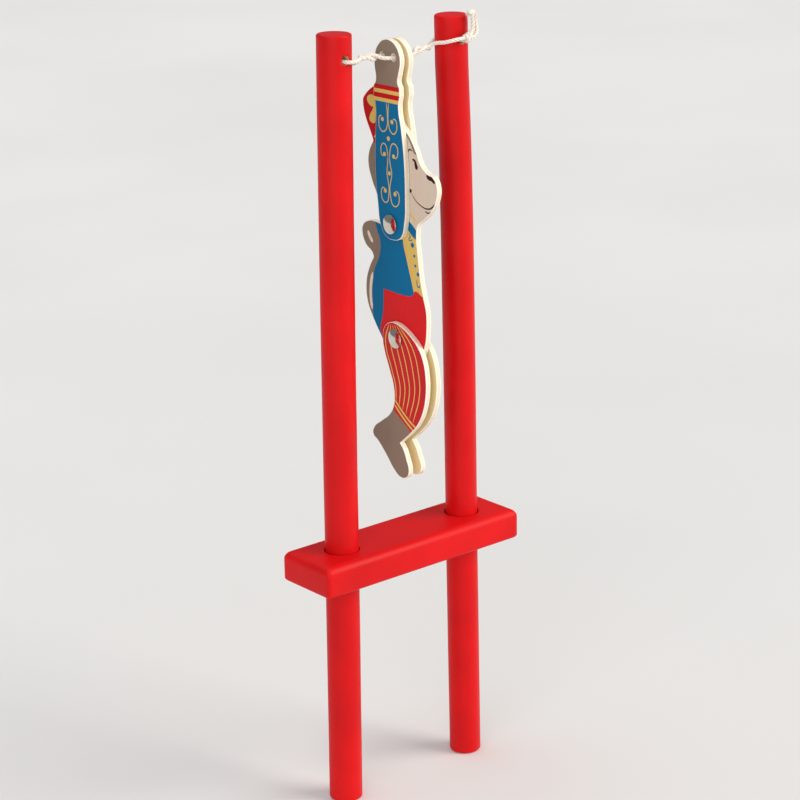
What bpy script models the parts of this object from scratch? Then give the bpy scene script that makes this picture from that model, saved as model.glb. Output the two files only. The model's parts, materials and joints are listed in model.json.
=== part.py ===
"""A squeeze acrobat toy: two round poles through a flat crossbar, and a flat jointed monkey that
hangs by its hands from a doubled string between the pole tops. Squeezing the poles below the
crossbar spreads their tops, the twisted string untwists, and the monkey turns over on it.

Metres, +Z up. X runs from the left pole to the right one, -Y is the side that the monkey faces,
and the origin is the centre of the crossbar's underside. Each flat piece of the monkey stands
across X: its near face looks toward -X and its far face toward +X.
"""

from math import cos, pi, radians, sin

import bmesh
import bpy
import numpy as np
from mathutils import Matrix, Vector

MM = 0.001

# Driving dimensions of the frame.
POLE_LENGTH = 0.300
POLE_DIAMETER = 0.0127
POLE_EDGE = 0.0007
POLE_BELOW_BAR = 0.092
POLE_SPACING = 0.0610
TOE_IN = radians(0.6)
BAR_LENGTH = 0.097
BAR_DEPTH = 0.028
BAR_HEIGHT = 0.012
BAR_ROUNDING = 0.0028
BAR_LOWER_SHARE = 0.35
SLOT_PLAY_X = 0.0010
SLOT_PLAY_Y = 0.0004
PIN_DIAMETER = 0.0020
PIN_RECESS = 0.0006
PIN_FRONT_WALL = 0.0034

# Driving dimensions of the string and its holes.
HOLE_BELOW_TOP = 0.0090
STRING_HOLE = 0.0030
STRING_DIAMETER = 0.0015
STRING_SAG = 0.0018
HAND_HOLE = 0.0026
HAND_HOLE_SPACING = 0.0064

# Driving dimensions of the monkey.
PLATE = 0.0022
ARM_REACH = 0.0627
HIP_BELOW_SHOULDER = 0.0440
HIP_FORWARD = 0.0018
RIVET_HEAD = 0.0074
RIVET_DOME = 0.0017
RIVET_LIP = 0.0003
SHANK_DIAMETER = 0.0026
SLEEVE_WALL = 0.0005

# The gap that touching pieces keep, and a cutter's run past the faces that it cuts.
GAP = 0.0003
OVERRUN = 0.004

# Places worked out from the sizes above.
PIVOT_Z = BAR_HEIGHT / 2
POLE_TOP = POLE_LENGTH - POLE_BELOW_BAR - PIVOT_Z
POLE_HOLE = POLE_TOP - HOLE_BELOW_TOP
STRING_Z = PIVOT_Z + POLE_HOLE * cos(TOE_IN) - STRING_SAG
SHOULDER_Z = STRING_Z - ARM_REACH
HIP_Z = SHOULDER_Z - HIP_BELOW_SHOULDER
LIMB_X = PLATE + GAP
OUTER_FACE = LIMB_X + PLATE / 2
SLEEVE_BORE = SHANK_DIAMETER + 2 * GAP
SLEEVE_DIAMETER = SLEEVE_BORE + 2 * SLEEVE_WALL
RIVET_HOLE = SLEEVE_DIAMETER + 2 * GAP

ROUND_SIDES = 40
SMALL_SIDES = 24

# Outlines of the flat pieces, in millimetres: toward the monkey's back, then up. The letter c
# marks a sharp corner. HAND is measured from the string, UPPER_ARM and TORSO from the shoulder
# rivet, and SEAT and LEG from the hip rivet.
HAND_FRONT = [
    (-5.5, -17.4), (-6.3, -14.0, "c"), (-6.2, -10.9, "c"), (-5.2, -8.9), (-5.8, -6.0),
    (-6.9, -1.8), (-6.5, 1.4), (-4.5, 4.5), (-1.6, 6.1),
]
HAND_BACK = [
    (1.8, 6.2), (5.3, 4.1), (7.4, 0.5), (7.8, -3.3), (7.3, -9.8), (8.4, -11.2, "c"),
    (8.7, -15.0, "c"), (7.8, -17.6),
]
UPPER_ARM = [
    (8.2, 30.0), (8.4, 18.0), (7.3, 7.0), (5.9, -1.2), (3.2, -4.9), (-1.4, -5.9), (-5.7, -4.3),
    (-8.1, 2.0), (-8.7, 12.0), (-8.3, 26.0), (-7.0, 36.4),
]
TORSO_BACK = [
    (9.0, -1.6, "c"), (12.0, -1.2), (16.1, -1.7), (19.3, -3.9), (19.8, -6.9),
    (17.8, -11.1), (13.9, -13.9), (13.3, -15.4, "c"), (16.0, -19.9), (17.9, -25.6),
    (17.5, -33.2), (14.6, -39.0),
]
SEAT = [
    (11.0, -2.3), (7.4, -6.9), (2.0, -9.4), (-4.5, -9.9), (-10.8, -7.0), (-14.2, -0.5),
    (-15.2, 5.6),
]
TORSO_FRONT = [
    (-16.9, -31.0), (-15.6, -26.6), (-13.9, -20.0), (-12.6, -11.0), (-11.9, -2.0), (-12.9, 1.5),
    (-16.0, 3.8), (-20.7, 8.1), (-23.3, 12.6), (-23.8, 17.2), (-21.9, 20.6), (-18.3, 21.6),
    (-14.6, 24.4), (-12.4, 28.6), (-9.2, 33.4), (-5.2, 37.4), (-2.8, 40.2, "c"),
    (3.0, 54.2, "c"), (17.3, 45.6), (17.9, 43.8), (12.2, 29.6, "c"), (14.6, 25.6),
    (15.4, 20.8), (13.3, 14.2), (10.6, 9.0), (9.4, 3.0),
]
LEG = [
    (-0.8, 5.9), (-4.6, 4.7), (-8.9, 2.4), (-13.0, -1.0), (-15.6, -5.2), (-17.1, -11.8),
    (-17.0, -19.0), (-15.1, -26.1), (-12.0, -31.6), (-8.2, -35.6), (-1.6, -41.3, "c"),
    (-3.5, -43.4), (-5.2, -47.0), (-6.5, -52.0), (-4.8, -54.6), (-1.4, -55.2), (1.6, -53.6),
    (7.4, -47.5), (11.6, -43.6), (14.6, -41.3), (13.8, -38.4), (9.6, -35.0), (4.4, -31.0),
    (2.1, -27.4), (1.4, -23.3), (1.9, -18.8), (3.9, -13.4), (6.8, -6.2), (7.7, -1.6),
    (6.6, 3.2), (3.0, 5.8),
]

# The string's route, in millimetres: from the knot in front of the right pole across the front
# of that pole, through the hands, through the left pole from front to back and round its inner
# side, back through the hands, round behind the right pole and out of its hole to the knot.
LOOP_ROUTE = [
    (27.2, -9.1, 200.5), (25.4, -8.7, 200.3), (22.2, -6.9, 199.7), (18.8, -3.6, 199.0),
    (14.0, -1.5, 198.5), (9.0, -2.6, 197.7), (5.0, -3.2, 197.2), (0.0, -3.2, 197.2),
    (-5.0, -3.2, 197.2), (-9.0, -2.6, 197.7), (-14.0, -1.5, 198.5), (-18.8, -3.4, 198.8),
    (-22.2, -6.3, 199.0), (-25.0, -8.0, 199.0), (-27.3, -7.8, 199.0), (-28.3, -6.4, 199.0),
    (-28.5, -4.4, 199.0), (-28.5, 0.0, 199.0), (-28.5, 4.4, 199.0), (-28.3, 6.4, 199.0),
    (-27.3, 7.8, 199.0), (-24.8, 8.0, 199.0), (-22.0, 6.3, 199.0), (-18.8, 3.4, 198.8),
    (-14.0, 1.5, 198.5), (-9.0, 2.6, 197.7), (-5.0, 3.2, 197.2), (0.0, 3.2, 197.2),
    (5.0, 3.2, 197.2), (9.0, 2.6, 197.7), (14.0, 1.5, 198.5), (18.8, 3.4, 198.8),
    (22.0, 6.3, 199.0), (24.8, 8.0, 199.0), (27.3, 7.8, 199.0), (28.3, 6.4, 199.0),
    (28.5, 4.4, 199.0), (28.5, 0.0, 199.0), (28.5, -4.4, 199.0), (28.6, -6.7, 199.2),
]
KNOT_CENTRE = (29.6, -9.0, 200.8)
KNOT_RADIUS = 0.0019
TAIL_A_ROUTE = [
    (31.8, -9.2, 200.9), (32.8, -9.2, 201.9), (33.0, -9.0, 203.6), (32.4, -8.8, 206.2),
    (31.6, -8.6, 209.2), (31.2, -8.5, 212.0),
]
TAIL_B_ROUTE = [
    (30.3, -9.3, 203.0), (30.7, -9.2, 204.6), (30.4, -9.0, 207.0), (29.7, -8.7, 209.6),
    (29.3, -8.5, 211.6),
]


def clear_scene():
    for obj in list(bpy.data.objects):
        bpy.data.objects.remove(obj, do_unlink=True)


def new_collection(name):
    collection = bpy.data.collections.new(name)
    bpy.context.scene.collection.children.link(collection)
    return collection


def material(name, colour, roughness, metallic=0.0):
    made = bpy.data.materials.new(name)
    made.use_nodes = True
    made.diffuse_color = (*colour, 1.0)
    shader = made.node_tree.nodes["Principled BSDF"]
    shader.inputs["Base Color"].default_value = (*colour, 1.0)
    shader.inputs["Roughness"].default_value = roughness
    shader.inputs["Metallic"].default_value = metallic
    return made


def add(name, mesh, finish, location=(0, 0, 0), rotation=(0, 0, 0), parent=None):
    """A sub-part, placed in its parent's frame, with its own copy of a finish."""
    obj = bpy.data.objects.new(name, mesh)
    obj.location = location
    obj.rotation_euler = rotation
    obj.parent = parent
    own = finish.copy()
    own.name = name
    mesh.materials.clear()
    mesh.materials.append(own)
    parts.objects.link(obj)
    return obj


def add_pivot(name, location, rotation=(0, 0, 0), parent=None):
    """An empty on a joint's axis."""
    pivot = bpy.data.objects.new(name, None)
    pivot.location = location
    pivot.rotation_euler = rotation
    pivot.parent = parent
    pivot.empty_display_size = 0.01
    parts.objects.link(pivot)
    return pivot


def mesh_from(build, name):
    mesh = bpy.data.meshes.new(name)
    build.to_mesh(mesh)
    build.free()
    return mesh


def cylinder(name, diameter, low, high, sides=ROUND_SIDES, axis="Z", stretch=(1, 1)):
    """A closed cylinder on a local axis from low to high; stretch makes its section an oval."""
    build = bmesh.new()
    bmesh.ops.create_cone(
        build, cap_ends=True, segments=sides, depth=high - low,
        radius1=diameter / 2, radius2=diameter / 2,
    )
    bmesh.ops.scale(build, vec=(*stretch, 1), verts=build.verts)
    bmesh.ops.translate(build, vec=(0, 0, (low + high) / 2), verts=build.verts)
    if axis == "Y":
        bmesh.ops.rotate(build, matrix=Matrix.Rotation(-pi / 2, 3, "X"), verts=build.verts)
    return mesh_from(build, name)


def cut(target, mesh, location=(0, 0, 0), rotation=(0, 0, 0), parent=None):
    """Cuts a mesh out of a sub-part, with the cutter kept in its own collection."""
    cutter = bpy.data.objects.new(mesh.name, mesh)
    cutter.location = location
    cutter.rotation_euler = rotation
    cutter.parent = parent
    cutter.hide_render = True
    cutter.display_type = "WIRE"
    cutters.objects.link(cutter)
    boolean = target.modifiers.new(mesh.name, "BOOLEAN")
    boolean.operation = "DIFFERENCE"
    boolean.object = cutter


def round_edges(obj, width, segments, method="ANGLE"):
    bevel = obj.modifiers.new("rounded edges", "BEVEL")
    bevel.limit_method = method
    bevel.width = width
    bevel.segments = segments
    return bevel


def smooth_route(route, spacing):
    """Points every spacing along a smooth curve through the route's own points, in metres."""
    points = np.array(route, float) * MM
    ends = np.vstack([2 * points[0] - points[1], points, 2 * points[-1] - points[-2]])
    before, start, stop, after = ends[:-3], ends[1:-2], ends[2:-1], ends[3:]
    t = np.linspace(0, 1, 24, endpoint=False)[:, None, None]
    curve = 0.5 * (
        2 * start
        + (stop - before) * t
        + (2 * before - 5 * start + 4 * stop - after) * t**2
        + (3 * start - before - 3 * stop + after) * t**3
    )
    dense = np.vstack([curve.transpose(1, 0, 2).reshape(-1, 3), points[-1:]])
    along = np.append(0, np.cumsum(np.linalg.norm(np.diff(dense, axis=0), axis=1)))
    wanted = np.linspace(0, along[-1], round(along[-1] / spacing) + 1)
    return np.stack([np.interp(wanted, along, dense[:, k]) for k in range(3)], axis=1)


def add_string(name, route, spacing):
    """A plain round tube along a route."""
    curve = bpy.data.curves.new(name, "CURVE")
    curve.dimensions = "3D"
    curve.bevel_depth = STRING_DIAMETER / 2
    curve.bevel_resolution = 2
    curve.use_fill_caps = True
    points = smooth_route(route, spacing)
    spline = curve.splines.new("POLY")
    spline.points.add(len(points) - 1)
    for point, place in zip(spline.points, points):
        point.co = (*place, 1)
    return add(name, curve, cotton)


def plate_mesh(name, outline):
    """A flat plate in the local XY plane: a smooth closed outline, extruded to the ply thickness."""
    curve = bpy.data.curves.new(name, "CURVE")
    curve.dimensions = "2D"
    curve.fill_mode = "BOTH"
    curve.extrude = PLATE / 2
    curve.resolution_u = 4
    spline = curve.splines.new("BEZIER")
    spline.bezier_points.add(len(outline) - 1)
    for point, place in zip(spline.bezier_points, outline):
        point.co = (place[0] * MM, place[1] * MM, 0)
        sort = "VECTOR" if "c" in place else "AUTO"
        point.handle_left_type = sort
        point.handle_right_type = sort
    spline.use_cyclic_u = True
    shape = bpy.data.objects.new(name, curve)
    parts.objects.link(shape)
    bpy.context.view_layer.update()
    evaluated = shape.evaluated_get(bpy.context.evaluated_depsgraph_get())
    mesh = bpy.data.meshes.new_from_object(evaluated)
    bpy.data.objects.remove(shape)
    bpy.data.curves.remove(curve)
    build = bmesh.new()
    build.from_mesh(mesh)
    bmesh.ops.remove_doubles(build, verts=build.verts, dist=0.00001)
    bmesh.ops.recalc_face_normals(build, faces=build.faces)
    build.to_mesh(mesh)
    build.free()
    mesh.name = name
    return mesh


def shifted(outline, forward, up):
    """An outline moved by metres, with its corner marks kept."""
    return [(p[0] + forward / MM, p[1] + up / MM, *p[2:]) for p in outline]


def add_plate(name, outline, finish, x, parent):
    """A flat piece whose local X is world Y and whose local Y is world Z."""
    turned = (pi / 2, 0, pi / 2)
    return add(name, plate_mesh(name, outline), finish, (x, 0, 0), turned, parent)


def cut_plate(target, name, diameter, back, up):
    """A round hole through a flat piece, in the piece's own plane."""
    hole = cylinder(name, diameter, -PLATE / 2 - OVERRUN, PLATE / 2 + OVERRUN, SMALL_SIDES)
    cut(target, hole, (back, up, 0), parent=target)


def turned_piece(name, profile, finish, location, rotation, parent):
    """A turned piece: its profile runs down the outer side about local Z."""
    build = bmesh.new()
    verts = [build.verts.new((r, 0, z)) for r, z in profile]
    for a, b in zip(verts, verts[1:]):
        build.edges.new((a, b))
    obj = add(name, mesh_from(build, name), finish, location, rotation, parent)
    screw = obj.modifiers.new("turned", "SCREW")
    screw.steps = SMALL_SIDES
    screw.render_steps = SMALL_SIDES
    screw.use_merge_vertices = True
    screw.merge_threshold = 0.00001
    return obj


def dome_profile():
    """A rivet head's outer side: a shallow dome down to a short straight lip, at height 0."""
    radius = RIVET_HEAD / 2
    rise = RIVET_DOME - RIVET_LIP
    sphere = (radius**2 + rise**2) / (2 * rise)
    reach = np.arcsin(radius / sphere)
    dome = [
        (sphere * sin(a), RIVET_DOME - sphere + sphere * cos(a)) for a in np.linspace(0, reach, 7)
    ]
    return [*dome, (radius, 0)]


def add_pole(side, name):
    """A pole with its origin on its pivot pin, leaning in by the toe-in at the top."""
    pivot = add_pivot(
        f"{name}_pivot", (side * POLE_SPACING / 2, 0, PIVOT_Z), (0, -side * TOE_IN, 0)
    )
    bottom = -POLE_BELOW_BAR - PIVOT_Z
    pole = add(
        name, cylinder(name, POLE_DIAMETER, bottom, POLE_TOP), red_paint, parent=pivot
    )
    round_edges(pole, POLE_EDGE, 2)
    across = POLE_DIAMETER / 2 + OVERRUN
    string_hole = cylinder(f"{name}_string_hole", STRING_HOLE, -across, across, SMALL_SIDES, "Y")
    cut(pole, string_hole, (0, 0, POLE_HOLE), parent=pivot)
    pin_hole = cylinder(
        f"{name}_pin_hole", PIN_DIAMETER + 2 * GAP, -across, across, SMALL_SIDES, "Y"
    )
    cut(pole, pin_hole, parent=pivot)


def add_crossbar():
    """A flat bar with rounded edges, an oval slot for each pole and a blind bore for each pin."""
    build = bmesh.new()
    bmesh.ops.create_cube(build, size=1)
    bmesh.ops.scale(build, vec=(BAR_LENGTH, BAR_DEPTH, BAR_HEIGHT), verts=build.verts)
    bmesh.ops.translate(build, vec=(0, 0, BAR_HEIGHT / 2), verts=build.verts)
    mesh = mesh_from(build, "crossbar")
    weights = mesh.attributes.new("bevel_weight_edge", "FLOAT", "EDGE")
    for edge in mesh.edges:
        lower = all(mesh.vertices[v].co.z < BAR_HEIGHT / 2 for v in edge.vertices)
        weights.data[edge.index].value = BAR_LOWER_SHARE if lower else 1.0
    bar = add("crossbar", mesh, red_paint)
    round_edges(bar, BAR_ROUNDING, 4, "WEIGHT")
    low, high = -OVERRUN, BAR_HEIGHT + OVERRUN
    wide = 1 + 2 * SLOT_PLAY_X / POLE_DIAMETER
    deep = 1 + 2 * SLOT_PLAY_Y / POLE_DIAMETER
    for side, name in ((-1, "left"), (1, "right")):
        place = (side * POLE_SPACING / 2, 0, 0)
        slot = cylinder(f"{name}_slot", POLE_DIAMETER, low, high, ROUND_SIDES, "Z", (wide, deep))
        cut(bar, slot, place)
        front = -BAR_DEPTH / 2 + PIN_FRONT_WALL - GAP
        bore = cylinder(
            f"{name}_pin_bore", PIN_DIAMETER + 2 * GAP, front, BAR_DEPTH / 2 + OVERRUN,
            SMALL_SIDES, "Y",
        )
        cut(bar, bore, (place[0], 0, PIVOT_Z))


def add_pins():
    """The nails that the poles turn on, driven in from the back of the crossbar."""
    for side, name in ((-1, "left_pivot_pin"), (1, "right_pivot_pin")):
        front = -BAR_DEPTH / 2 + PIN_FRONT_WALL
        back = BAR_DEPTH / 2 - PIN_RECESS
        pin = cylinder(name, PIN_DIAMETER, front, back, SMALL_SIDES, "Y")
        add(name, pin, steel, (side * POLE_SPACING / 2, 0, PIVOT_Z))


def add_limbs():
    """Two arms on the string, the torso with head and tail on the shoulder, two legs on the hip."""
    arm_outline = HAND_FRONT + HAND_BACK + shifted(UPPER_ARM, 0, -ARM_REACH)
    torso_outline = (
        TORSO_BACK + shifted(SEAT, -HIP_FORWARD, -HIP_BELOW_SHOULDER) + TORSO_FRONT
    )
    for side, name in ((-1, "near"), (1, "far")):
        arm = add_plate(f"{name}_arm", arm_outline, coat_blue, side * LIMB_X, string_axis)
        for back, hole in ((-1, "front"), (1, "back")):
            place = back * HAND_HOLE_SPACING / 2
            cut_plate(arm, f"{name}_hand_{hole}_hole", HAND_HOLE, place, 0)
        cut_plate(arm, f"{name}_shoulder_hole", RIVET_HOLE, 0, -ARM_REACH)
        leg = add_plate(f"{name}_leg", LEG, trouser_red, side * LIMB_X, hip_axis)
        cut_plate(leg, f"{name}_hip_hole", RIVET_HOLE, 0, 0)
    torso = add_plate("torso", torso_outline, fur_taupe, 0, shoulder_axis)
    cut_plate(torso, "torso_shoulder_hole", RIVET_HOLE, 0, 0)
    cut_plate(torso, "torso_hip_hole", RIVET_HOLE, -HIP_FORWARD, -HIP_BELOW_SHOULDER)


def add_rivet(name, axis):
    """A post with a solid shank on the near side and a cap with a sleeve on the far side."""
    seat = OUTER_FACE + GAP
    reach = -seat - OUTER_FACE + GAP
    shank = SHANK_DIAMETER / 2
    post = [*dome_profile(), (shank, 0), (shank, reach), (0, reach)]
    turned_piece(f"{name}_rivet_post", post, nickel, (-seat, 0, 0), (0, -pi / 2, 0), axis)
    outer, bore = SLEEVE_DIAMETER / 2, SLEEVE_BORE / 2
    cap = [*dome_profile(), (outer, 0), (outer, reach), (bore, reach), (bore, -GAP), (0, -GAP)]
    turned_piece(f"{name}_rivet_cap", cap, nickel, (seat, 0, 0), (0, pi / 2, 0), axis)


def add_knot():
    """The lump where the string's two ends are tied, drawn up against the right pole."""
    build = bmesh.new()
    bmesh.ops.create_uvsphere(build, u_segments=16, v_segments=10, radius=KNOT_RADIUS)
    add("string_knot", mesh_from(build, "string_knot"), cotton, Vector(KNOT_CENTRE) * MM)


def shade_round_pieces():
    for obj in parts.objects:
        if obj.type == "MESH":
            obj.data.shade_smooth()
            obj.data.set_sharp_from_angle(angle=radians(35))


clear_scene()
parts = new_collection("squeeze_acrobat")
cutters = new_collection("cutters")
red_paint = material("red gloss paint", (0.60, 0.012, 0.016), 0.28)
coat_blue = material("printed blue", (0.0, 0.085, 0.26), 0.45)
trouser_red = material("printed red", (0.50, 0.02, 0.025), 0.45)
fur_taupe = material("printed taupe", (0.20, 0.13, 0.085), 0.45)
nickel = material("nickel", (0.72, 0.70, 0.66), 0.12, 1.0)
steel = material("steel wire", (0.55, 0.55, 0.55), 0.35, 1.0)
cotton = material("cotton string", (0.83, 0.75, 0.64), 0.85)

string_axis = add_pivot("string_axis", (0, 0, STRING_Z))
shoulder_axis = add_pivot("shoulder_axis", (0, 0, -ARM_REACH), parent=string_axis)
hip_axis = add_pivot(
    "hip_axis", (0, -HIP_FORWARD, -HIP_BELOW_SHOULDER), parent=shoulder_axis
)
add_crossbar()
add_pins()
add_pole(-1, "left_pole")
add_pole(1, "right_pole")
add_limbs()
add_rivet("shoulder", shoulder_axis)
add_rivet("hip", hip_axis)
add_string("string_loop", LOOP_ROUTE, 1.45 * STRING_DIAMETER)
add_knot()
add_string("string_tail_a", TAIL_A_ROUTE, STRING_DIAMETER)
add_string("string_tail_b", TAIL_B_ROUTE, STRING_DIAMETER)
shade_round_pieces()
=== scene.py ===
"""Looks of the squeeze acrobat: two dipped red poles through a crossbar, a printed plywood monkey
that hangs by its hands, and the twisted cotton string that carries it.

Shapes are worked out in millimetres in the row frame: X from the left pole to the right one,
Y toward the monkey's back, Z up. Each finished mesh is stored in metres at the origin.
"""

import json
from math import cos, pi, radians, sin

import bmesh
import bpy
import numpy as np
from mathutils import Matrix, Vector
from mathutils.geometry import delaunay_2d_cdt


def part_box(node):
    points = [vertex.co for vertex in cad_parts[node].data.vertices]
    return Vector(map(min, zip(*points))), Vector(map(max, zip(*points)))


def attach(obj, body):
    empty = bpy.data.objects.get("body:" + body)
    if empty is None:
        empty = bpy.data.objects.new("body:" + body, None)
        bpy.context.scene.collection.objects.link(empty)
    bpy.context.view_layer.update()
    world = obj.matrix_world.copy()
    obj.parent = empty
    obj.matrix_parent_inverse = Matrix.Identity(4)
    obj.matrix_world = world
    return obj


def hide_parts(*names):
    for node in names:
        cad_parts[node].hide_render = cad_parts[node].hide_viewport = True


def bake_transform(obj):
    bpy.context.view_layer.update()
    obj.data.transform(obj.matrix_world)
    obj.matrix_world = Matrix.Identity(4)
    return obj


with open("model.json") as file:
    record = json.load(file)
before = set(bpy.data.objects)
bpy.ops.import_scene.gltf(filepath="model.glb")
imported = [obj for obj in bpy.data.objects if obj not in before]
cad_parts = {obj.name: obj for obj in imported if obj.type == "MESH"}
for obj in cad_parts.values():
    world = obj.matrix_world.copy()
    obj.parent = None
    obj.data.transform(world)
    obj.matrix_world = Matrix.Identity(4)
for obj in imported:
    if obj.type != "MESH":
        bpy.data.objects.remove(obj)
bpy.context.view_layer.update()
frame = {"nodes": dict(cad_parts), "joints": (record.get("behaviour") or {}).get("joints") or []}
MM = 0.001


def box_mm(node):
    """A CAD node's lowest and highest corners, in millimetres."""
    return np.array([list(corner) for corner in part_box(node)]) / MM


def joint_mm(name):
    """A joint's place, in millimetres."""
    joint = next(j for j in frame["joints"] if j["name"] == name)
    return np.array(joint["pos_m"]) / MM


# Places that the frame gives.
STRING = joint_mm("string_spin")
SHOULDER = joint_mm("shoulder_swing")
HIP = joint_mm("near_hip_swing")
PIVOT = joint_mm("right_pole_squeeze")
PLY = float(np.ptp(box_mm("torso")[:, 0]))
LIMB_X = float(box_mm("far_arm")[:, 0].mean())
BAR = box_mm("crossbar")
FLOOR = float(box_mm("left_pole")[0, 2])

# Sizes of the made pieces, in millimetres.
LEFT_POLE_LENGTH = 300.6
RIGHT_POLE_LENGTH = 301.4
POLE_DIAMETER = 12.7
POLE_BELOW_PIVOT = 98.0
TOE_IN = radians(0.6)
STRING_HOLE = 3.0
HOLE_BELOW_TOP = 9.0
HAND_HOLE = 2.6
HAND_HOLE_SPACING = 6.4
RIVET_HOLE = 4.8
POLE_BOW = 0.3
CROOK = 1.1
CROOK_FROM, CROOK_SPAN = 115.0, 70.0
PLY_EDGE_ROUND = 0.22
LIMB_DRAWN_IN, HAND_DRAWN_IN, LEG_LEAN = 0.12, 0.9, 0.028
SLOT_PLAY_WIDE, SLOT_PLAY_DEEP = 0.5, 0.3
STRING_THICK, STRING_PLIES, STRING_LAY = 1.5, 3, 4.0
# How far the string's ends at the right pole are moved from the solids' route by that pole's crook.
AT_RIGHT_POLE = np.array([-0.9, 0.0, 1.1])
# Where the string leaves the hands, and where its twisted part ends, to each side of the middle.
HAND_SIDE, TWIST_END = 6.5, 12.0


# ---------------------------------------------------------------- finishes


def linear(colour):
    """An sRGB hex colour as linear red, green, blue and alpha."""
    parts = np.array([int(colour[i : i + 2], 16) for i in (1, 3, 5)]) / 255
    parts = np.where(parts <= 0.04045, parts / 12.92, ((parts + 0.055) / 1.055) ** 2.4)
    return (*parts.tolist(), 1.0)


def finish(name, **sockets):
    """A material with its shader's uniform values set: returns it, its tree, its shader and the
    place on the piece that its patterns read."""
    made = bpy.data.materials.new(name)
    made.use_nodes = True
    tree = made.node_tree
    shader = tree.nodes["Principled BSDF"]
    for socket, value in sockets.items():
        shader.inputs[socket.replace("_", " ")].default_value = value
    return made, tree, shader, add_node(tree, "ShaderNodeTexCoord").outputs["Object"]


def add_node(tree, kind, links=None, stops=(), to=None, **settings):
    """Adds a node: links fills its sockets with values or other sockets, stops are a colour ramp's
    (place, hex colour) pairs, to is a socket that its first output feeds, and settings fills its
    own fields."""
    made = tree.nodes.new(kind)
    for field, value in settings.items():
        setattr(made, field, value)
    for socket, value in (links or {}).items():
        if isinstance(value, bpy.types.NodeSocket):
            tree.links.new(value, made.inputs[socket])
        else:
            made.inputs[socket].default_value = value
    if stops:
        band = made.color_ramp.elements
        while len(band) < len(stops):
            band.new(0.5)
        for element, (place, colour) in zip(band, stops):
            element.position = place
            element.color = linear(colour)
    if to is not None:
        tree.links.new(made.outputs[0], to)
    return made


def dipped_paint():
    """Red lacquer dipped over turned beech: an even gloss coat, a slow drift in its depth, faint
    orange peel, and the beech's long grain just telling through."""
    made, tree, shader, place = finish(
        "red_dipped_lacquer", Roughness=0.42, IOR=1.45, Specular_IOR_Level=0.2
    )
    # The lacquer pools and thins over some 25 mm.
    drift = add_node(tree, "ShaderNodeTexNoise", {"Vector": place, "Scale": 40.0, "Detail": 2.0})
    add_node(
        tree, "ShaderNodeValToRGB", {"Fac": drift.outputs["Fac"]},
        [(0.3, "#ca0a0f"), (0.55, "#d40c10"), (0.75, "#dc0f13")], shader.inputs["Base Color"],
    )
    # Grain lines 0.5 mm apart that run 15 mm along the pole.
    along = add_node(tree, "ShaderNodeMapping", {"Vector": place, "Scale": (1.0, 1.0, 0.035)})
    grain = add_node(
        tree, "ShaderNodeTexNoise",
        {"Vector": along.outputs["Vector"], "Scale": 1900.0, "Detail": 2.0},
    )
    # Orange peel 1.6 mm across.
    peel = add_node(tree, "ShaderNodeTexNoise", {"Vector": place, "Scale": 620.0, "Detail": 1.0})
    low = add_node(
        tree, "ShaderNodeBump",
        {"Height": grain.outputs["Fac"], "Strength": 0.10, "Distance": 0.00006},
    )
    add_node(
        tree, "ShaderNodeBump",
        {"Height": peel.outputs["Fac"], "Strength": 0.16, "Distance": 0.00012,
         "Normal": low.outputs["Normal"]},
        to=shader.inputs["Normal"],
    )
    add_node(
        tree, "ShaderNodeMapRange",
        {"Value": drift.outputs["Fac"], "From Min": 0.3, "From Max": 0.7,
         "To Min": 0.38, "To Max": 0.48},
        to=shader.inputs["Roughness"],
    )
    return made


def bare_beech():
    """Drilled beech with no paint: pinkish tan, short dark flecks, dry and matt."""
    made, tree, shader, place = finish("bare_drilled_beech", Roughness=0.75, IOR=1.5)
    # Flecks 0.6 mm apart that run 4 mm along the pole.
    along = add_node(tree, "ShaderNodeMapping", {"Vector": place, "Scale": (1.0, 1.0, 0.15)})
    fleck = add_node(
        tree, "ShaderNodeTexNoise",
        {"Vector": along.outputs["Vector"], "Scale": 1600.0, "Detail": 3.0},
    )
    add_node(
        tree, "ShaderNodeValToRGB", {"Fac": fleck.outputs["Fac"]},
        [(0.3, "#8f6a48"), (0.5, "#c69b70"), (0.75, "#dcb98e")], shader.inputs["Base Color"],
    )
    return made


def sawn_ply():
    """The sanded edge of three-ply birch: two pale face veneers and a slightly browner core whose
    end grain shows as fine pores. The ply attribute is the depth through the sheet."""
    made, tree, shader, place = finish("sanded_birch_ply_edge", Roughness=0.6, IOR=1.5)
    depth = add_node(tree, "ShaderNodeAttribute", attribute_name="ply").outputs["Fac"]
    across = add_node(
        tree, "ShaderNodeMapRange",
        {"Value": depth, "From Min": -PLY / 2, "From Max": PLY / 2},
    ).outputs["Result"]
    layers = add_node(
        tree, "ShaderNodeValToRGB", {"Fac": across},
        [(0.0, "#f8f1e2"), (0.28, "#f6eddb"), (0.32, "#e2d2b0"), (0.37, "#eee0c4"),
         (0.63, "#eddfc2"), (0.68, "#e0cfab"), (0.72, "#f6eddb"), (1.0, "#f8f1e2")],
    )
    # Pores 0.4 mm apart.
    pores = add_node(tree, "ShaderNodeTexNoise", {"Vector": place, "Scale": 2600.0, "Detail": 3.0})
    dirt = add_node(
        tree, "ShaderNodeValToRGB", {"Fac": pores.outputs["Fac"]},
        [(0.30, "#d8c19a"), (0.42, "#ffffff")],
    )
    # A mix node's colours are its sockets 6 and 7, and its mixed colour is output 2.
    both = add_node(
        tree, "ShaderNodeMix", {0: 0.55, 6: layers.outputs["Color"], 7: dirt.outputs["Color"]},
        data_type="RGBA", blend_type="MULTIPLY",
    )
    tree.links.new(both.outputs[2], shader.inputs["Base Color"])
    add_node(
        tree, "ShaderNodeBump",
        {"Height": pores.outputs["Fac"], "Strength": 0.25, "Distance": 0.00008},
        to=shader.inputs["Normal"],
    )
    return made


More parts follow.
